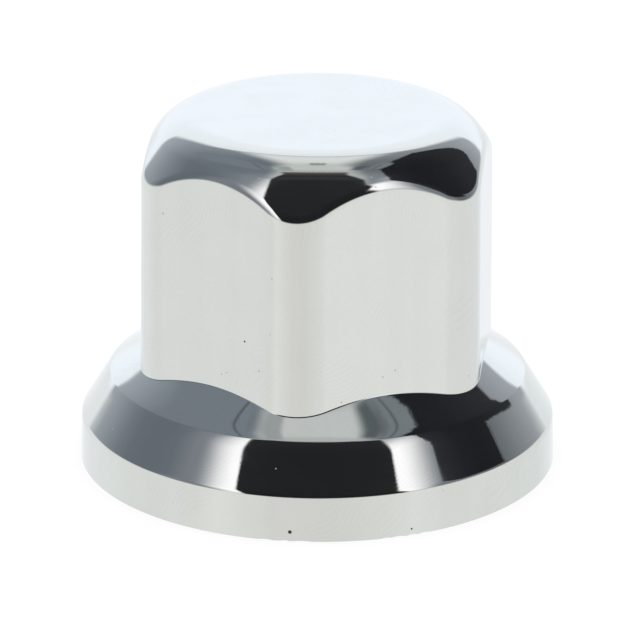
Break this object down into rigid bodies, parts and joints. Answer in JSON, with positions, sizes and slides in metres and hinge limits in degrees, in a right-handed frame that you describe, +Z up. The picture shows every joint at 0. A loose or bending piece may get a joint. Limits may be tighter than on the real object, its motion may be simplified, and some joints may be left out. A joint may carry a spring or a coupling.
{
  "type": "lug nut cover",
  "caption": "Push-on chrome lug nut cover: a hollow rounded hexagonal post with a domed chamfer and a flat round top, on a flared flange with an upright rim.",
  "frame": {"origin": "centre of the rim's foot, on the axis of the nut", "axes": "+Z up along the nut's axis to the flat top, +X through a corner of the hexagon, +Y square to a flat"},
  "size_m": [0.0618, 0.0618, 0.0464],
  "materials": {
    "chrome_plate": "bright chrome plating on moulded ABS plastic, with faint polishing swirls on the flats and a few pits"
  },
  "bodies": {
    "root": {"cover": "chrome_plate"}
  },
  "joints": []
}
